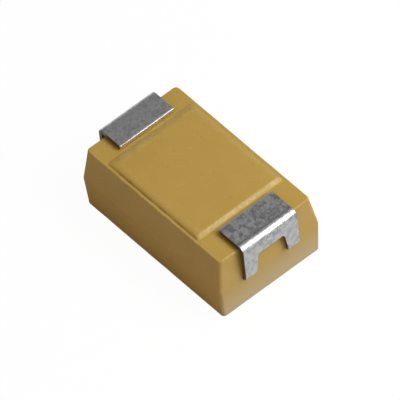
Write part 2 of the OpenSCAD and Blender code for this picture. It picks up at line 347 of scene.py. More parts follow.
def add_bump(tree, shader, height, distance, strength=1.0):
    """Feeds a height into the shader's normal, with its distance in metres."""
    bump = add_node(tree, "ShaderNodeBump", {"Height": height, "Distance": distance, "Strength": strength})
    tree.links.new(bump.outputs[0], shader.inputs["Normal"])


def grain_node(tree, per_mm, clouds=1.1, pits=0.3):
    """The shared grain, at a scale per millimetre."""
    group = shared_group("fine_grain", grain_group)
    node = add_node(tree, "ShaderNodeGroup", node_tree=group)
    node.inputs["Grain per mm"].default_value = per_mm
    node.inputs["Cloud per mm"].default_value = clouds
    node.inputs["Pit Share"].default_value = pits
    return node


def mottle_node(tree, patch, fleck, contrast):
    """The shared metal mottle, with its patches and flecks per millimetre."""
    group = shared_group("metal_mottle", mottle_group)
    node = add_node(tree, "ShaderNodeGroup", node_tree=group)
    node.inputs["Patch per mm"].default_value = patch
    node.inputs["Fleck per mm"].default_value = fleck
    node.inputs["Contrast"].default_value = contrast
    return node


# ---------------------------------------------------------------- materials


# marks that each strip's vertices carry: a painted highlight over the bend, a painted shade beside it, the
# cut side faces painted dark as bare edges and as shade, and a painted highlight on the tip; and the height
# of the pads in millimetres
STRIP_MARKS = ("drawn", "bend_shade", "sheared_and_shaded", "tip")
PAD_FACE = ANODE_HIGH.z / MM


def epoxy_material(finish):
    """Gold-tan moulding compound, with clouds, pits, worn edges with painted highlights, painted shade in the
    groove and along the parting line, a painted reflection of the bright floor low on the anode end, and the
    polarity band underneath.
    """
    made, tree, shader = new_material("moulded_epoxy", finish.epoxy_roughness, specular=0.3)
    grain = grain_node(tree, 24.0, clouds=0.9, pits=0.16)
    edge = add_node(tree, "ShaderNodeAttribute", attribute_name="rubbed_and_highlit")
    crease_shade = add_node(tree, "ShaderNodeAttribute", attribute_name="crease_shade")
    cloud = ramp(tree, grain.outputs["Clouds"], 0.35, 0.7, 0.0, 0.16)
    tone = blend(tree, cloud, finish.epoxy, finish.epoxy_dark)
    flecks = ramp(tree, noise_value(tree, millimetres(tree), 9.0, 3.0), 0.44, 0.6, 0.35, 1.0)
    where = add_node(tree, "ShaderNodeSeparateXYZ", {0: millimetres(tree)})
    half_length = CASE_HIGH.x / MM
    # painted reflection of the bright floor: paler low on the anode end, fading up the face
    at_end = ramp(tree, where.outputs["X"], half_length - 0.2, half_length - 0.04)
    foot = ramp(tree, where.outputs["Z"], 0.05, 1.5, 0.85, 0.14)
    tone = layered(tree, tone, (
        (grain.outputs["Pits"], 0.35, finish.epoxy_dark),
        (grain.outputs["Pale Grains"], 0.22, finish.epoxy_pale),
        # worn edges and slopes, with a painted highlight
        (edge.outputs["Fac"], flecks, finish.epoxy_pale),
        # painted shade in the groove beside the plateau and along the parting line
        (crease_shade.outputs["Fac"], 0.9, finish.epoxy_groove_shade),
        # painted reflection of the bright floor, low on the anode end
        (at_end, foot, finish.epoxy_floor_reflection),
    ))
    start = ramp(tree, where.outputs["X"], half_length - 1.16, half_length - 1.13)
    stop = ramp(tree, where.outputs["X"], half_length - 0.5, half_length - 0.47, 1.0, 0.0)
    under = ramp(tree, where.outputs["Z"], 0.004, 0.012, 1.0, 0.0)
    band = math_node(tree, "MULTIPLY", math_node(tree, "MULTIPLY", start, stop), under)
    band = math_node(tree, "MULTIPLY", band, ramp(tree, grain.outputs["Height"], 0.2, 0.5, 0.55, 0.9))
    tone = blend(tree, band, tone, finish.band)
    tree.links.new(tone, shader.inputs["Base Color"])
    rough = ramp(tree, grain.outputs["Height"], 0.25, 0.75, finish.epoxy_roughness - 0.05,
                 finish.epoxy_roughness + 0.07)
    tree.links.new(rough, shader.inputs["Roughness"])
    add_bump(tree, shader, grain.outputs["Height"], 0.006 * MM)
    return made


def tin_material(finish, name="tin_plate"):
    """Matt tin plate with its grey mottle, its painted highlights over the bends and tips, and its painted
    shade beside the bends and on the side faces.
    """
    made, tree, shader = new_material(name, finish.tin_roughness, metallic=1.0)
    mottle = mottle_node(tree, 4.6, 15.0, 1.45)
    marks = {label: add_node(tree, "ShaderNodeAttribute", attribute_name=label).outputs["Fac"]
             for label in STRIP_MARKS}
    where = add_node(tree, "ShaderNodeSeparateXYZ", {0: millimetres(tree)})
    # the mottle darkens mostly the pad tops: real mottle, and also a painted shade that keeps the tops darker
    # than the legs
    on_top = ramp(tree, where.outputs["Z"], PAD_FACE - 0.4, PAD_FACE - 0.1, 0.45, 1.0)
    finer = ramp(tree, where.outputs["X"], -1.0, 1.0, 0.6, 1.0)
    dark = math_node(tree, "MULTIPLY", mottle.outputs["Dark"], math_node(tree, "MULTIPLY", on_top, finer))
    tone = blend(tree, dark, finish.tin, finish.tin_dark)
    # painted highlight over the bend, broken up by the mottle
    drawn = math_node(tree, "SUBTRACT", 1.0, math_node(tree, "MULTIPLY", mottle.outputs["Dark"], 0.6))
    drawn = math_node(tree, "MULTIPLY", drawn, marks["drawn"])
    tone = layered(tree, tone, (
        # painted shade beside the bend, painted highlight over the bend
        (marks["bend_shade"], 0.75, finish.tin_dark), (drawn, 1.0, finish.tin_highlight),
        # side faces dark as bare edges and as painted shade, painted highlight on the tip
        (marks["sheared_and_shaded"], 0.9, finish.tin_sheared_and_shade), (marks["tip"], 0.8, finish.tin_highlight),
    ))
    tree.links.new(tone, shader.inputs["Base Color"])
    rough = math_node(tree, "MULTIPLY", mottle.outputs["Gloss"], 0.05)
    rough = math_node(tree, "ADD", rough, finish.tin_roughness)
    rough = math_node(tree, "SUBTRACT", rough, math_node(tree, "MULTIPLY", marks["drawn"], 0.06))
    tree.links.new(rough, shader.inputs["Roughness"])
    add_bump(tree, shader, mottle.outputs["Height"], 0.012 * MM)
    return made


def grained_material(name, tone, darker, roughness, per_mm, relief, metallic=0.0, pits=0.4):
    """A cast, pressed or painted inner surface with its own grain."""
    made, tree, shader = new_material(name, roughness, metallic)
    grain = grain_node(tree, per_mm, clouds=2.0, pits=pits)
    low = tuple(c * darker for c in tone)
    cloud = ramp(tree, grain.outputs["Clouds"], 0.3, 0.7, 0.0, 0.5)
    mixed = blend(tree, cloud, tone, low)
    mixed = blend(tree, math_node(tree, "MULTIPLY", grain.outputs["Pits"], 0.7), mixed, low)
    tree.links.new(mixed, shader.inputs["Base Color"])
    rough = ramp(tree, grain.outputs["Height"], 0.2, 0.8, roughness - 0.08, min(1.0, roughness + 0.08))
    tree.links.new(rough, shader.inputs["Roughness"])
    add_bump(tree, shader, grain.outputs["Height"], relief)
    return made


def wire_material(finish):
    """Drawn tantalum wire, with fine lines along X."""
    made, tree, shader = new_material("drawn_wire", 0.32, metallic=1.0)
    stretched = add_node(tree, "ShaderNodeMapping", {"Vector": millimetres(tree), "Scale": (0.6, 14.0, 14.0)})
    lines = noise_value(tree, stretched.outputs[0], 3.0, 3.0, 0.6)
    dull = tuple(c * 0.6 for c in finish.wire)
    tree.links.new(blend(tree, ramp(tree, lines, 0.35, 0.65), finish.wire, dull), shader.inputs["Base Color"])
    tree.links.new(ramp(tree, lines, 0.3, 0.7, 0.26, 0.4), shader.inputs["Roughness"])
    add_bump(tree, shader, lines, 0.002 * MM)
    return made


# ---------------------------------------------------------------- mesh helpers


def new_piece(name, mesh, material):
    """An object at the origin for a finished mesh, shaded smooth."""
    piece = bpy.data.objects.new(name, mesh)
    bpy.context.scene.collection.objects.link(piece)
    if not mesh.materials:
        mesh.materials.append(material)
    for polygon in mesh.polygons:
        polygon.use_smooth = True
    return piece


def rounded_ring(z, middle, half_x, half_y, radius, along, across, corner=8):
    """Points round a rounded rectangle, counter-clockwise from above, with even steps on its sides."""
    points = []
    corners = ((1, 1, 0), (-1, 1, 90), (-1, -1, 180), (1, -1, 270))
    for number, (side_x, side_y, first) in enumerate(corners):
        centre = Vector((middle + side_x * (half_x - radius), side_y * (half_y - radius), z))
        for step in range(corner + 1):
            turn = math.radians(first + 90 * step / corner)
            points.append(centre + Vector((radius * math.cos(turn), radius * math.sin(turn), 0)))
        steps = along if number % 2 == 0 else across
        after = corners[(number + 1) % 4]
        turn = math.radians(after[2])
        goal = Vector((
            middle + after[0] * (half_x - radius) + radius * math.cos(turn),
            after[1] * (half_y - radius) + radius * math.sin(turn),
            z,
        ))
        start = points[-1].copy()
        points += [start.lerp(goal, step / steps) for step in range(1, steps)]
    return points


def skin_rings(rings):
    """A closed mesh through rings of equal count, from the lowest up, as bmesh."""
    shape = bmesh.new()
    levels = [[shape.verts.new(p) for p in ring] for ring in rings]
    count = len(levels[0])
    for low, high in zip(levels, levels[1:]):
        for i in range(count):
            j = (i + 1) % count
            shape.faces.new((low[i], low[j], high[j], high[i]))
    shape.faces.new(list(reversed(levels[0])))
    shape.faces.new(levels[-1])
    shape.normal_update()
    return shape


def unevenness(point, per_mm, seed):
    """Smooth noise about zero at a point in metres."""
    return noise.fractal(point * (per_mm / MM) + Vector((seed, 2 * seed, 3 * seed)), 1.0, 2.0, 3)


# ---------------------------------------------------------------- case


def case_rings(case, strip):
    """Rings of the case from the marked face to the plateau, each with its share of edge wear with painted
    highlight and its share of painted shade in the groove.
    """
    half_x, half_y = CASE_HIGH.x - case.flash_rise, CASE_HIGH.y - case.flash_rise
    land_top = case.parting_height + case.parting_land / 2
    land_foot = case.parting_height - case.parting_land / 2
    slopes = [math.tan(a) for a in (
        case.upper_end_draft, case.upper_side_draft, case.lower_end_draft, case.lower_side_draft)]
    rings, rubbed_and_highlit, crease_shade = [], [], []

    def outside(z, inset=0.0, rub_and_highlight=0.0, painted_shade=0.0):
        above, below = max(0.0, z - land_top), max(0.0, land_foot - z)
        end = above * slopes[0] + below * slopes[2] + inset
        side = above * slopes[1] + below * slopes[3] + inset
        far = case.marked_corner if below else case.corner_radius
        gone = below / land_foot + above / (case.shelf_height - land_top)
        radius = case.parting_corner + (far - case.parting_corner) * gone
        rings.append(rounded_ring(z, 0, half_x - end, half_y - side, radius, *RING_STEPS))
        rubbed_and_highlit.append(rub_and_highlight)
        crease_shade.append(painted_shade)

    def rounding(z, radius, upward):
        for step in range(5):
            turn = math.radians(22.5 * step if upward else 90 - 22.5 * step)
            rise = radius * math.sin(turn)
            # the rounded edges get edge wear with a painted highlight
            outside(z - radius + rise if upward else z + radius - rise, radius * (1 - math.cos(turn)), 0.4)

    # the marked face's inner hold, its rounded edge, the sides, and the shelf's rounded edge
    outside(0.0, case.marked_edge * 3)
    rounding(0.0, case.marked_edge, False)
    for part in (0.06, 0.12, 0.25, 0.4, 0.55, 0.7, 0.85, 0.95):
        outside(case.marked_edge + (land_foot - case.marked_edge) * part)
    # a faint painted shade along the parting line
    outside(land_foot, painted_shade=0.15)
    outside(land_top, painted_shade=0.15)
    shelf_foot = case.shelf_height - case.shelf_edge
    for part in (0.05, 0.15, 0.3, 0.45, 0.6, 0.75, 0.88, 0.96):
        outside(land_top + (shelf_foot - land_top) * part)
    rounding(case.shelf_height, case.shelf_edge, True)
    outside(case.shelf_height, case.shelf_edge * 1.3)

    # the plateau, placed from the gaps to the two pads, with steeper feet along the sides
    anode_foot = ANODE_HIGH.x - strip.anode_pad - case.anode_gap
    cathode_foot = CATHODE_LOW.x + strip.cathode_pad + case.cathode_gap
    middle, reach = (anode_foot + cathode_foot) / 2, (anode_foot - cathode_foot) / 2
    shelf_y = CASE_HIGH.y - (case.shelf_height - land_top) * slopes[1]
    width = shelf_y - case.plateau_margin
    rise = CASE_HIGH.z - case.shelf_height
    # columns: height up the plateau, inset at the ends, inset at the sides, edge wear with painted highlight,
    # painted shade at the foot
    outline = (
        (0.0, -0.3, -0.2, 0.0, 0.0), (0.0, -0.06, -0.05, 0.0, 0.6), (0.05, 0.04, 0.02, 0.0, 1.0),
        (0.25, 0.22, 0.08, 0.0, 0.5), (0.5, 0.47, 0.22, 0.1, 0.05), (0.72, 0.7, 0.42, 0.2, 0.0),
        (0.88, 0.87, 0.66, 0.3, 0.0), (0.965, 1.0, 0.86, 0.25, 0.0), (1.0, 1.25, 1.1, 0.1, 0.0),
        (1.0, 1.6, 1.5, 0.0, 0.0), (1.0, 4.0, 3.0, 0.0, 0.0),
    )
    for up, over_end, over_side, rub_and_highlight, painted_shade in outline:
        near_in = case.end_slope * over_end
        far_in = near_in if over_end < 0 else case.far_slope * over_end
        rings.append(rounded_ring(
            case.shelf_height + rise * up, middle + (far_in - near_in) / 2, reach - (near_in + far_in) / 2,
            width - case.side_slope * over_side, case.corner_radius * 0.7, *RING_STEPS,
        ))
        rubbed_and_highlit.append(rub_and_highlight)
        crease_shade.append(painted_shade)
    return rings, rubbed_and_highlit, crease_shade, (cathode_foot, anode_foot)


def slope_highlight(place, case, feet):
    """How much painted highlight the plateau's two slopes beside the pads get, most on the anode's slope,
    which faces the key lamp; the far slope gets a little to lighten its shade.
    """
    if place.z <= case.shelf_height + 0.01 * MM:
        return 0.0
    if place.x > feet[1] - 1.15 * case.end_slope:
        return 1.1
    return 0.3 if place.x < feet[0] + 1.15 * case.far_slope else 0.0


class CAPACITOR_OT_case(bpy.types.Operator):
    """Builds the moulded case with its drafts, shelf, plateau and softened edges"""

    bl_idname = "capacitor.case"
    bl_label = "Moulded Case"

    def execute(self, context):
        case, strip = context.scene.capacitor_case, context.scene.capacitor_strip
        rings, rubbed_and_highlit, crease_shade, feet = case_rings(case, strip)
        shape = skin_rings(rings)
        count = len(rings[0])
        marks = {name: shape.verts.layers.float.new(name) for name in ("rubbed_and_highlit", "crease_shade")}
        shape.verts.ensure_lookup_table()
        shape.verts.index_update()
        for vert in shape.verts:
            level = vert.index // count
            patchy = 0.65 + 0.7 * unevenness(vert.co, 2.5, 5.0)
            # edge wear with painted highlight, more on the slopes beside the pads
            wear_and_highlight = rubbed_and_highlit[level] + slope_highlight(vert.co, case, feet)
            vert[marks["rubbed_and_highlit"]] = wear_and_highlight * max(0.0, patchy)
            inside = min(vert.co.x - feet[0], feet[1] - vert.co.x) / case.end_slope
            # painted shade in the groove: strong on the shaded -Y side, faint on the +Y side
            along_side = min(max(inside, 0.0), 1.0) * (1.0 if vert.co.y < 0 else 0.1)
            vert[marks["crease_shade"]] = along_side * crease_shade[level] * max(0.0, patchy)
        last = len(rings) - 1
        moves = []
        for vert in shape.verts:
            level = vert.index // count
            still = level in (0, last)
            moves.append(vert.normal * (0.0 if still else case.waviness * unevenness(vert.co, 1.6, 1.0)))
        for vert, move in zip(shape.verts, moves):
            vert.co += move
            vert.co.z = min(max(vert.co.z, 0.0), CASE_HIGH.z)
        mesh = bpy.data.meshes.new("case_moulding_skin")
        shape.to_mesh(mesh)
        shape.free()
        epoxy = epoxy_material(context.scene.capacitor_finish)
        piece = new_piece("case_moulding_skin", mesh, epoxy)
        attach(piece, "root")
        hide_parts("case_moulding")
        return {"FINISHED"}


def flash_tree():
    """Geometry nodes that sweep an uneven bead of flash along an outline."""
    tree = bpy.data.node_groups.new("parting_flash", "GeometryNodeTree")
    face = tree.interface
    face.new_socket("Geometry", in_out="INPUT", socket_type="NodeSocketGeometry")
    for label, kind, default in (
        ("Bead Radius", "NodeSocketFloat", 0.01 * MM), ("Unevenness", "NodeSocketFloat", 0.5),
        ("Spacing", "NodeSocketFloat", 0.05 * MM), ("Seed", "NodeSocketFloat", 3.0),
        ("Material", "NodeSocketMaterial", None),
    ):
        socket = face.new_socket(label, in_out="INPUT", socket_type=kind)
        if default is not None:
            socket.default_value = default
    face.new_socket("Geometry", in_out="OUTPUT", socket_type="NodeSocketGeometry")
    into, out = tree.nodes.new("NodeGroupInput"), tree.nodes.new("NodeGroupOutput")
    path = add_node(tree, "GeometryNodeMeshToCurve", {"Mesh": into.outputs["Geometry"]})
    even = add_node(tree, "GeometryNodeResampleCurve", {"Curve": path.outputs[0]}, mode="LENGTH")
    tree.links.new(into.outputs["Spacing"], even.inputs["Length"])
    where = tree.nodes.new("GeometryNodeInputPosition")
    patchy = add_node(
        tree, "ShaderNodeTexNoise",
        {"Vector": where.outputs[0], "W": into.outputs["Seed"], "Scale": 1.4 / MM, "Detail": 3.0},
        noise_dimensions="4D",
    )
    swing = math_node(tree, "MULTIPLY", math_node(tree, "SUBTRACT", patchy.outputs["Fac"], 0.5), 2.0)
    swing = math_node(tree, "MULTIPLY", swing, into.outputs["Unevenness"])
    factor = math_node(tree, "ADD", swing, 0.75, clamp=True)
    profile = add_node(tree, "GeometryNodeCurvePrimitiveCircle", {"Resolution": 6})
    tree.links.new(into.outputs["Bead Radius"], profile.inputs["Radius"])
    bead = add_node(
        tree, "GeometryNodeCurveToMesh",
        {"Curve": even.outputs[0], "Profile Curve": profile.outputs[0], "Scale": factor, "Fill Caps": True},
    )
    real = add_node(tree, "GeometryNodeRealizeInstances", {"Geometry": bead.outputs[0]})
    painted = add_node(
        tree, "GeometryNodeSetMaterial",
        {"Geometry": real.outputs[0], "Material": into.outputs["Material"]},
    )
    tree.links.new(painted.outputs[0], out.inputs[0])
    return tree


def set_inputs(modifier, tree, values):
    """Sets a geometry nodes modifier's inputs by their sockets' identifiers."""
    for item in tree.interface.items_tree:
        if item.in_out == "INPUT" and item.name in values:
            modifier[item.identifier] = values[item.name]


class CAPACITOR_OT_flash(bpy.types.Operator):
    """Sweeps the thin line of moulding flash along the parting line"""

    bl_idname = "capacitor.flash"
    bl_label = "Parting Flash"

    def execute(self, context):
        case = context.scene.capacitor_case
        radius = case.flash_radius
        outline = rounded_ring(case.parting_height, 0, CASE_HIGH.x - radius, CASE_HIGH.y - radius,
                               case.parting_corner, *RING_STEPS)
        edges = [(i, (i + 1) % len(outline)) for i in range(len(outline))]
        mesh = bpy.data.meshes.new("flash_path")
        mesh.from_pydata(outline, edges, [])
        path = bpy.data.objects.new("flash_path", mesh)
        context.scene.collection.objects.link(path)
        tree = flash_tree()
        modifier = path.modifiers.new("flash", "NODES")
        modifier.node_group = tree
        set_inputs(modifier, tree, {
            "Bead Radius": radius, "Unevenness": 0.8, "Spacing": 0.04 * MM, "Seed": 3.0,
            "Material": bpy.data.materials["moulded_epoxy"],
        })
        evaluated = path.evaluated_get(context.evaluated_depsgraph_get())
        plain = bpy.data.meshes.new_from_object(evaluated)
        bpy.data.objects.remove(path)
        piece = new_piece("parting_flash", plain, bpy.data.materials["moulded_epoxy"])
        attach(piece, "root")
        return {"FINISHED"}


# ---------------------------------------------------------------- terminals


class FoldPath:
    """The middle line of a folded strip in X and Z, walked from the pad's tip into the case."""

    def __init__(self, start, moves):
        self.pieces = []
        at, heading, u = Vector(start), 0.0, 0.0
        for move in moves:
            self.pieces.append((u, at.copy(), heading, move))
            if move[0] == "run":
                at += Vector((math.cos(heading), math.sin(heading))) * move[1]
                u += move[1]
            else:
                side = math.copysign(1, move[1])
                centre = at + Vector((-math.sin(heading), math.cos(heading))) * side * move[2]
                heading += move[1]
                at = centre - Vector((-math.sin(heading), math.cos(heading))) * side * move[2]
                u += abs(move[1]) * move[2]
        self.length = u

    def at(self, u):
        """Position and outward normal at a distance along the path."""
        start, origin, heading, move = max(
            (p for p in self.pieces if p[0] <= u + 1e-12), key=lambda p: p[0]
        )
        gone = u - start
        if move[0] == "run":
            along = Vector((math.cos(heading), math.sin(heading)))
            return origin + along * gone, Vector((-along.y, along.x))
        side = math.copysign(1, move[1])
        centre = origin + Vector((-math.sin(heading), math.cos(heading))) * side * move[2]
        now = heading + side * gone / move[2]
        normal = Vector((-math.sin(now), math.cos(now)))
        return centre - normal * side * move[2], normal

    def stations(self, step):
        """Distances along the path, close together in the bends."""
        marks = []
        for start, _, _, move in self.pieces:
            size = move[1] if move[0] == "run" else abs(move[1]) * move[2]
            count = max(1, math.ceil(size / step)) if move[0] == "run" else 8
            marks += [start + size * i / count for i in range(count)]
        return marks + [self.length]


def flat_pattern(stations, columns_at, open_at):
    """A flat strip as bmesh in distance along, distance across and zero, with closed cells left out."""
    shape = bmesh.new()
    rows = [[shape.verts.new((u, v, 0)) for v in columns_at(u)] for u in stations]
    for low, high, u, w in zip(rows, rows[1:], stations, stations[1:]):
        for column in range(len(low) - 1):
            if not open_at((u + w) / 2, column):
                shape.faces.new((low[column], high[column], high[column + 1], low[column + 1]))
    bmesh.ops.delete(shape, geom=[v for v in shape.verts if not v.link_faces], context="VERTS")
    return shape


def thicken(shape, thickness, edge_round):
    """Gives a flat pattern its thickness about zero and rounds the edges of its outline."""
    flat = list(shape.faces)
    bmesh.ops.translate(shape, verts=shape.verts, vec=(0, 0, -thickness / 2))
    made = bmesh.ops.extrude_face_region(shape, geom=flat, use_keep_orig=True)
    upper = [v for v in made["geom"] if isinstance(v, bmesh.types.BMVert)]
    bmesh.ops.translate(shape, verts=upper, vec=(0, 0, thickness))
    bmesh.ops.recalc_face_normals(shape, faces=shape.faces)
    shape.normal_update()
    sharp = [e for e in shape.edges if len(e.link_faces) == 2 and e.calc_face_angle(0) > 0.8]
    bmesh.ops.bevel(shape, geom=sharp, offset=edge_round, segments=3, profile=0.5, affect="EDGES",
                    clamp_overlap=True)


def ease(value, low, high):
    """Value taken smoothly from low..high to 0..1; low may be the greater."""
    part = min(max((value - low) / (high - low), 0.0), 1.0)
    return part * part * (3 - 2 * part)


def mark_strip(shape, path, mirrored):
    """Marks, on the flat strip, a painted highlight over the bend, a painted shade on the flat beside it, the
    cut side faces dark as bare edges and as painted shade, and a painted highlight on the tip.
    """
    layers = [shape.verts.layers.float.new(label) for label in STRIP_MARKS]
    bend_from, bend_to = path.pieces[1][0], path.pieces[2][0]
    # the painted highlight and shade are kept faint on the cathode's far bend
    plainness = 0.1 if mirrored else 1.0
    shape.normal_update()
    for vert in shape.verts:
        u = vert.co.x
        turned = (u - bend_from) / (bend_to - bend_from)
        # painted highlight over the bend, starting a little on the flat
        drawn = ease(turned, -0.15, 0.0) * ease(turned, 0.54, 0.26) * plainness
        # painted shade on the flat just before the bend
        bend_shade = ease(u, bend_from - 0.22 * MM, bend_from - 0.09 * MM) * (plainness if turned < -0.1 else 0.0)
        # side faces: dark as bare edges and as painted shade
        sheared_and_shaded = ease(abs(vert.normal.y), 0.35, 0.75)
        # the last mark is a painted highlight on the pad's tip
        for layer, value in zip(layers, (drawn, bend_shade, sheared_and_shaded, ease(u, 0.03 * MM, 0.015 * MM))):
            vert[layer] = value


def fold_strip(name, shape, path, mirrored, strip, material):
    """Bends a flat strip along its path, adds the tin's unevenness and returns the piece."""
    mark_strip(shape, path, mirrored)
    for vert in shape.verts:
        u, v, w = vert.co
        middle, normal = path.at(min(max(u, 0.0), path.length))
        spill = u - min(max(u, 0.0), path.length)
        swell = strip.unevenness * unevenness(Vector((u, v, 4 * w)), 1.9, 9.0 if mirrored else 4.0)
        reach = min(w * (1 + swell / strip.thickness * 2), strip.thickness / 2)
        place = middle + normal * reach
        along = Vector((normal.y, -normal.x))
        place = place + along * spill
        vert.co = Vector((-place.x if mirrored else place.x, v, place.y))
    bmesh.ops.recalc_face_normals(shape, faces=shape.faces)
    mesh = bpy.data.meshes.new(name)
    shape.to_mesh(mesh)
    shape.free()
    return new_piece(name, mesh, material)


def pad_and_leg(strip, pad_length, pad_face, leg_face, strip_middle):
    """The start and the moves that every terminal shares: pad, bend, leg and bend."""
    bend = strip.bend_radius + strip.thickness / 2
    flat = pad_length - strip.thickness - strip.bend_radius
    start = (leg_face - pad_length, pad_face - strip.thickness / 2)
    leg = start[1] - strip_middle - 2 * bend
    quarter = -math.pi / 2
    return start, [("run", flat), ("bend", quarter, bend), ("run", leg), ("bend", quarter, bend)]


def spread(first, last, count):
    """Evenly spread values from first up to but without last."""
    return [first + (last - first) * i / count for i in range(count)]


def columns(half, inner, gap):
    """Places across the strip: its edges, the edges of its narrow part and of its notch."""
    right = spread(gap, inner, 3) + spread(inner, half, 3) + [half]
    left = [-v for v in reversed(right)]
    return left + spread(-gap, gap, 9)[1:] + right


TIN = "tin_plate"


def lay_strip(context, name, pattern, path, mirrored):
    """Thickens and folds a strip's flat pattern, in tin plate."""
    strip, finish = context.scene.capacitor_strip, context.scene.capacitor_finish
    thicken(pattern, strip.thickness, strip.edge_round)
    tin = bpy.data.materials.get(TIN) or tin_material(finish, TIN)
    return fold_strip(name, pattern, path, mirrored, strip, tin)


class CAPACITOR_OT_anode_strip(bpy.types.Operator):
    """Folds the notched anode strip, from its pad to the tongue under the wire"""

    bl_idname = "capacitor.anode_strip"
    bl_label = "Anode Terminal"

    def execute(self, context):
        strip, case = context.scene.capacitor_strip, context.scene.capacitor_case
        middle = case.parting_height
        start, moves = pad_and_leg(strip, strip.anode_pad, ANODE_HIGH.z, ANODE_HIGH.x, middle)
        inside_from = ANODE_HIGH.x - strip.thickness - strip.bend_radius
        moves.append(("run", inside_from - ANODE_LOW.x))
        path = FoldPath(start, moves)
        leg_from = path.pieces[2]
        entry_from = path.pieces[4]
        notch_from = leg_from[0] + leg_from[1].y - (middle + strip.notch_height)
        back_at = entry_from[0] + inside_from - (CASE_HIGH.x - strip.notch_inside)
        root_at = back_at + strip.web_length
        half, inner = ANODE_HIGH.y, strip.tongue_width / 2
        flare = (strip.notch_foot - strip.notch_top) / 2 / strip.notch_height
        lean = math.atan(flare)
        radius = strip.notch_corner
        setback = radius * math.tan((math.pi / 2 - lean) / 2)
        centre = strip.notch_top / 2 - setback

        def gap(u):
            """Half the notch's width at a distance along the strip."""
            u = min(max(u, notch_from), back_at)
            drop = middle + strip.notch_height - path.at(u)[0].y
            if drop < radius * (1 - math.sin(lean)):
                return centre + math.sqrt(max(0.0, radius ** 2 - (radius - drop) ** 2))
            return strip.notch_top / 2 + flare * drop

        corner_marks = [notch_from + radius * (1 - math.cos(math.radians(15 * i))) for i in range(7)]
        marks = path.stations(0.09 * MM)
        marks += corner_marks + [back_at, root_at]
        marks = sorted(set(round(u, 9) for u in marks))
        marks = [u for i, u in enumerate(marks) if i == 0 or u - marks[i - 1] > 0.004 * MM or u in
                 (round(notch_from, 9), round(back_at, 9), round(root_at, 9))]

        def open_at(u, column):
            """Whether a cell is part of the notch or beside the tongue."""
            outer, inner_columns, notch_columns = 3, 3, 9
            first_gap = outer + inner_columns
            in_notch = first_gap <= column < first_gap + notch_columns
            beside = column < outer or column >= first_gap + notch_columns + inner_columns
            return (in_notch and notch_from < u < back_at) or (beside and u > root_at)

        shape = flat_pattern(marks, lambda u: columns(half, inner, gap(u)), open_at)
        piece = lay_strip(context, "anode_strip", shape, path, mirrored=False)
        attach(piece, "root")
        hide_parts("anode_terminal")
        return {"FINISHED"}


class CAPACITOR_OT_cathode_strip(bpy.types.Operator):
    """Folds the plain cathode strip, from its pad to the paddle under the pellet"""

    bl_idname = "capacitor.cathode_strip"
    bl_label = "Cathode Terminal"

    def execute(self, context):
        strip, case = context.scene.capacitor_strip, context.scene.capacitor_case
        middle = case.parting_height
        start, moves = pad_and_leg(strip, strip.cathode_pad, CATHODE_HIGH.z, -CATHODE_LOW.x, middle)
        inside_from = -CATHODE_LOW.x - strip.thickness - strip.bend_radius
        set_down_from = CASE_HIGH.x - strip.entry_length
        paddle_middle = CATHODE_LOW.z + strip.thickness / 2
        paddle_from = -(CATHODE_HIGH.x - strip.paddle_length)
        slope = math.atan2(middle - paddle_middle, set_down_from - paddle_from)
        bend = strip.bend_radius + strip.thickness / 2
        short = bend * math.tan(slope / 2)
        slant = math.hypot(middle - paddle_middle, set_down_from - paddle_from) - 2 * short
        moves += [
            ("run", inside_from - set_down_from - short), ("bend", slope, bend), ("run", slant),
            ("bend", -slope, bend), ("run", strip.paddle_length - short),
        ]
        path = FoldPath(start, moves)
        narrow_from = path.pieces[5][0]
        half, inner = CATHODE_HIGH.y, strip.paddle_width / 2
        marks = sorted(set(round(u, 9) for u in path.stations(0.1 * MM)))
        narrow_at = min(marks, key=lambda u: abs(u - narrow_from))

        def open_at(u, column):
            """Whether a cell lies beside the paddle."""
            return (column < 3 or column >= 18) and u > narrow_at

        shape = flat_pattern(marks, lambda u: columns(half, inner, inner / 3), open_at)
        piece = lay_strip(context, "cathode_strip", shape, path, mirrored=True)
        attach(piece, "root")
        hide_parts("cathode_terminal")
        return {"FINISHED"}


class CAPACITOR_OT_inner_pieces(bpy.types.Operator):
    """Gives the pieces sealed in the case their finishes"""

    bl_idname = "capacitor.inner_pieces"
    bl_label = "Inner Pieces"

    def execute(self, context):
        finish = context.scene.capacitor_finish
        finishes = {
            "tantalum_pellet": grained_material("sintered_tantalum", finish.tantalum, 0.55, 0.62, 30.0,
                                                0.012 * MM, metallic=0.8, pits=0.6),
            "riser_wire": wire_material(finish),
            "insulating_washer": grained_material("washer_resin", finish.washer, 0.85, 0.42, 14.0,
                                                  0.003 * MM, pits=0.1),
            "manganese_dioxide_coat": grained_material("manganese_dioxide", finish.dioxide, 0.5, 0.85,
                                                       34.0, 0.014 * MM, pits=0.7),
            "graphite_coat": grained_material("graphite", finish.graphite, 0.6, 0.5, 40.0, 0.004 * MM,
                                              metallic=0.3),
            "silver_coat": grained_material("silver_paint", finish.silver, 0.7, 0.45, 36.0, 0.005 * MM,
                                            metallic=0.9),
            "silver_adhesive": grained_material("silver_adhesive", finish.adhesive, 0.7, 0.5, 28.0,
                                                0.008 * MM, metallic=0.7),
        }
        for node, material in finishes.items():
            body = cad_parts[node]
            body.data.materials.clear()
            body.data.materials.append(material)
        return {"FINISHED"}


# ---------------------------------------------------------------- stage


def light_path(tree, *rays):
    """Whether a ray is one of the named kinds."""
    path = tree.nodes.new("ShaderNodeLightPath")
    value = path.outputs[rays[0]]
    for ray in rays[1:]:
        value = math_node(tree, "MAXIMUM", value, path.outputs[ray])
    return value


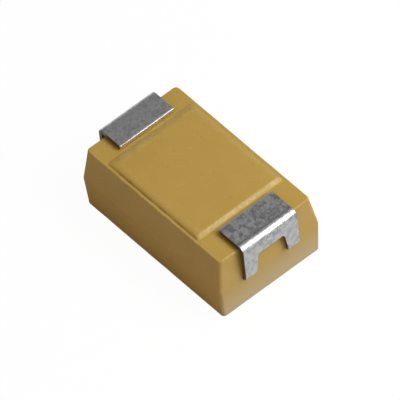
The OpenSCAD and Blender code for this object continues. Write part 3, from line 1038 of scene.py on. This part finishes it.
def floor_material(stage):
    """Pale floor that the camera sees as white with the part's faint shadow."""
    made = bpy.data.materials.new("pale_floor")
    made.use_nodes = True
    tree = made.node_tree
    tree.nodes.clear()
    seen = light_path(tree, "Is Camera Ray")
    paper = blend(tree, seen, (0.7, 0.63, 0.53), (1.0, 1.0, 1.0))
    matt = add_node(tree, "ShaderNodeBsdfDiffuse", {"Color": paper})
    mirrored = light_path(tree, "Is Glossy Ray", "Is Transmission Ray")
    where = add_node(tree, "ShaderNodeSeparateXYZ", {0: millimetres(tree)})
    beside = CASE_LOW.y / MM
    # painted shadow in the floor as the part mirrors it: dark just beside the case's -Y side, pale further
    # out
    lit = math_node(tree, "MAXIMUM", ramp(tree, where.outputs["Y"], beside - 0.1, beside + 0.4),
                    ramp(tree, where.outputs["Y"], beside - 1.6, beside - 0.3, 1.0, 0.2))
    tone = blend(tree, lit, (0.06, 0.045, 0.03), (stage.floor_mirror,) * 3)
    tone = blend(tree, seen, tone, (1.0, 1.0, 1.0))
    white = add_node(tree, "ShaderNodeEmission", {"Color": tone, "Strength": 1.0})
    camera = math_node(tree, "MULTIPLY", seen, 1 - stage.floor_shade)
    factor = math_node(tree, "MAXIMUM", camera, mirrored)
    mixed = add_node(tree, "ShaderNodeMixShader", {0: factor, 1: matt.outputs[0], 2: white.outputs[0]})
    out = tree.nodes.new("ShaderNodeOutputMaterial")
    tree.links.new(mixed.outputs[0], out.inputs["Surface"])
    return made


def add_lamp(name, direction, distance, size, strength):
    """A square lamp that points at the part and lights it to the strength given, 1 being plain."""
    lamp = bpy.data.lights.new(name, "AREA")
    lamp.size = size
    lamp.energy = strength * math.pi * math.pi * distance ** 2
    holder = bpy.data.objects.new(name, lamp)
    bpy.context.scene.collection.objects.link(holder)
    aim = Vector((0, 0, 1.4 * MM))
    holder.location = aim + direction.normalized() * distance
    holder.rotation_euler = direction.to_track_quat("Z", "Y").to_euler()
    return holder


def make_world(stage):
    """A dim room: white to the camera, and for what the part mirrors pale near the horizon but darker
    on its shaded side."""
    world = bpy.data.worlds.new("room")
    bpy.context.scene.world = world
    world.use_nodes = True
    tree = world.node_tree
    background = tree.nodes["Background"]
    where = add_node(tree, "ShaderNodeTexCoord")
    direction = add_node(tree, "ShaderNodeSeparateXYZ", {0: where.outputs["Generated"]})
    horizon = ramp(tree, direction.outputs["Z"], 0.05, 0.6, 1.0, 0.0)
    lit_side = ramp(tree, direction.outputs["Y"], -0.7, 0.2, 0.15, 1.0)
    pale = math_node(tree, "MULTIPLY", horizon, lit_side)
    room = blend(tree, pale, (stage.sky,) * 3, (0.8, 0.8, 0.8))
    warm = blend(tree, lit_side, (stage.sky * 2.1, stage.sky * 1.62, stage.sky * 1.3), (stage.sky,) * 3)
    glossy = light_path(tree, "Is Glossy Ray", "Is Transmission Ray")
    seen = light_path(tree, "Is Camera Ray")
    tone = blend(tree, glossy, warm, room)
    tone = blend(tree, seen, tone, (1.0, 1.0, 1.0))
    tree.links.new(tone, background.inputs["Color"])
    background.inputs["Strength"].default_value = 1.0


def make_camera(stage):
    """A long lens on the part, looking down on it from the anode end."""
    a, e, r = stage.azimuth, stage.elevation, stage.roll
    right = Vector((math.cos(a), math.sin(a), 0))
    back = Vector((math.sin(a) * math.cos(e), -math.cos(a) * math.cos(e), math.sin(e)))
    up = back.cross(right)
    camera_x = right * math.cos(r) + up * math.sin(r)
    camera_y = up * math.cos(r) - right * math.sin(r)
    lens = bpy.data.cameras.new("camera")
    lens.lens = stage.lens
    distance = stage.frame_width * stage.lens / lens.sensor_width
    lens.clip_start, lens.clip_end = distance * 0.1, distance * 10
    holder = bpy.data.objects.new("camera", lens)
    bpy.context.scene.collection.objects.link(holder)
    aim = Vector((0, 0, stage.aim_height)) + camera_x * stage.aim_right + camera_y * stage.aim_up
    place = aim + back * distance
    holder.matrix_world = Matrix([*zip(camera_x, camera_y, back, place), (0, 0, 0, 1)])
    bpy.context.scene.camera = holder


class CAPACITOR_OT_stage(bpy.types.Operator):
    """Lays the floor and sets the camera, lamps and room"""

    bl_idname = "capacitor.stage"
    bl_label = "Stage"

    def execute(self, context):
        stage = context.scene.capacitor_stage
        context.scene.view_settings.view_transform = "Standard"
        make_camera(stage)
        make_world(stage)
        reach = 400 * MM
        mesh = bpy.data.meshes.new("floor")
        corners = [(-reach, -reach, 0), (reach, -reach, 0), (reach, reach, 0), (-reach, reach, 0)]
        mesh.from_pydata(corners, [], [(0, 1, 2, 3)])
        mesh.materials.append(floor_material(stage))
        floor = bpy.data.objects.new("floor", mesh)
        context.scene.collection.objects.link(floor)
        away = 60 * MM
        add_lamp("key_lamp", Vector((0.6, 0.36, 0.71)), away, 36 * MM, stage.key)
        add_lamp("top_lamp", Vector((0.04, 0.37, 0.93)), away, 30 * MM, stage.top)
        return {"FINISHED"}


class CAPACITOR_PT_sidebar(bpy.types.Panel):
    """Lists the settings and the steps that build the capacitor"""

    bl_label = "Tantalum Capacitor"
    bl_idname = "CAPACITOR_PT_sidebar"
    bl_space_type = "VIEW_3D"
    bl_region_type = "UI"
    bl_category = "Capacitor"

    def draw(self, context):
        for step in STEPS:
            self.layout.operator(step.bl_idname)
        for name, group in SETTINGS.items():
            box = self.layout.box()
            box.label(text=group.__doc__)
            for field in group.__annotations__:
                box.prop(getattr(context.scene, name), field)


STEPS = (
    CAPACITOR_OT_stage, CAPACITOR_OT_case, CAPACITOR_OT_flash, CAPACITOR_OT_anode_strip,
    CAPACITOR_OT_cathode_strip, CAPACITOR_OT_inner_pieces,
)


def register():
    for group in (*SETTINGS.values(), *STEPS, CAPACITOR_PT_sidebar):
        bpy.utils.register_class(group)
    for name, group in SETTINGS.items():
        setattr(bpy.types.Scene, name, bpy.props.PointerProperty(type=group))


def unregister():
    for name in SETTINGS:
        delattr(bpy.types.Scene, name)
    for group in reversed((*SETTINGS.values(), *STEPS, CAPACITOR_PT_sidebar)):
        bpy.utils.unregister_class(group)


def main():
    register()
    bpy.ops.capacitor.stage()
    bpy.ops.capacitor.case()
    bpy.ops.capacitor.flash()
    bpy.ops.capacitor.anode_strip()
    bpy.ops.capacitor.cathode_strip()
    bpy.ops.capacitor.inner_pieces()


if __name__ == "__main__":
    main()
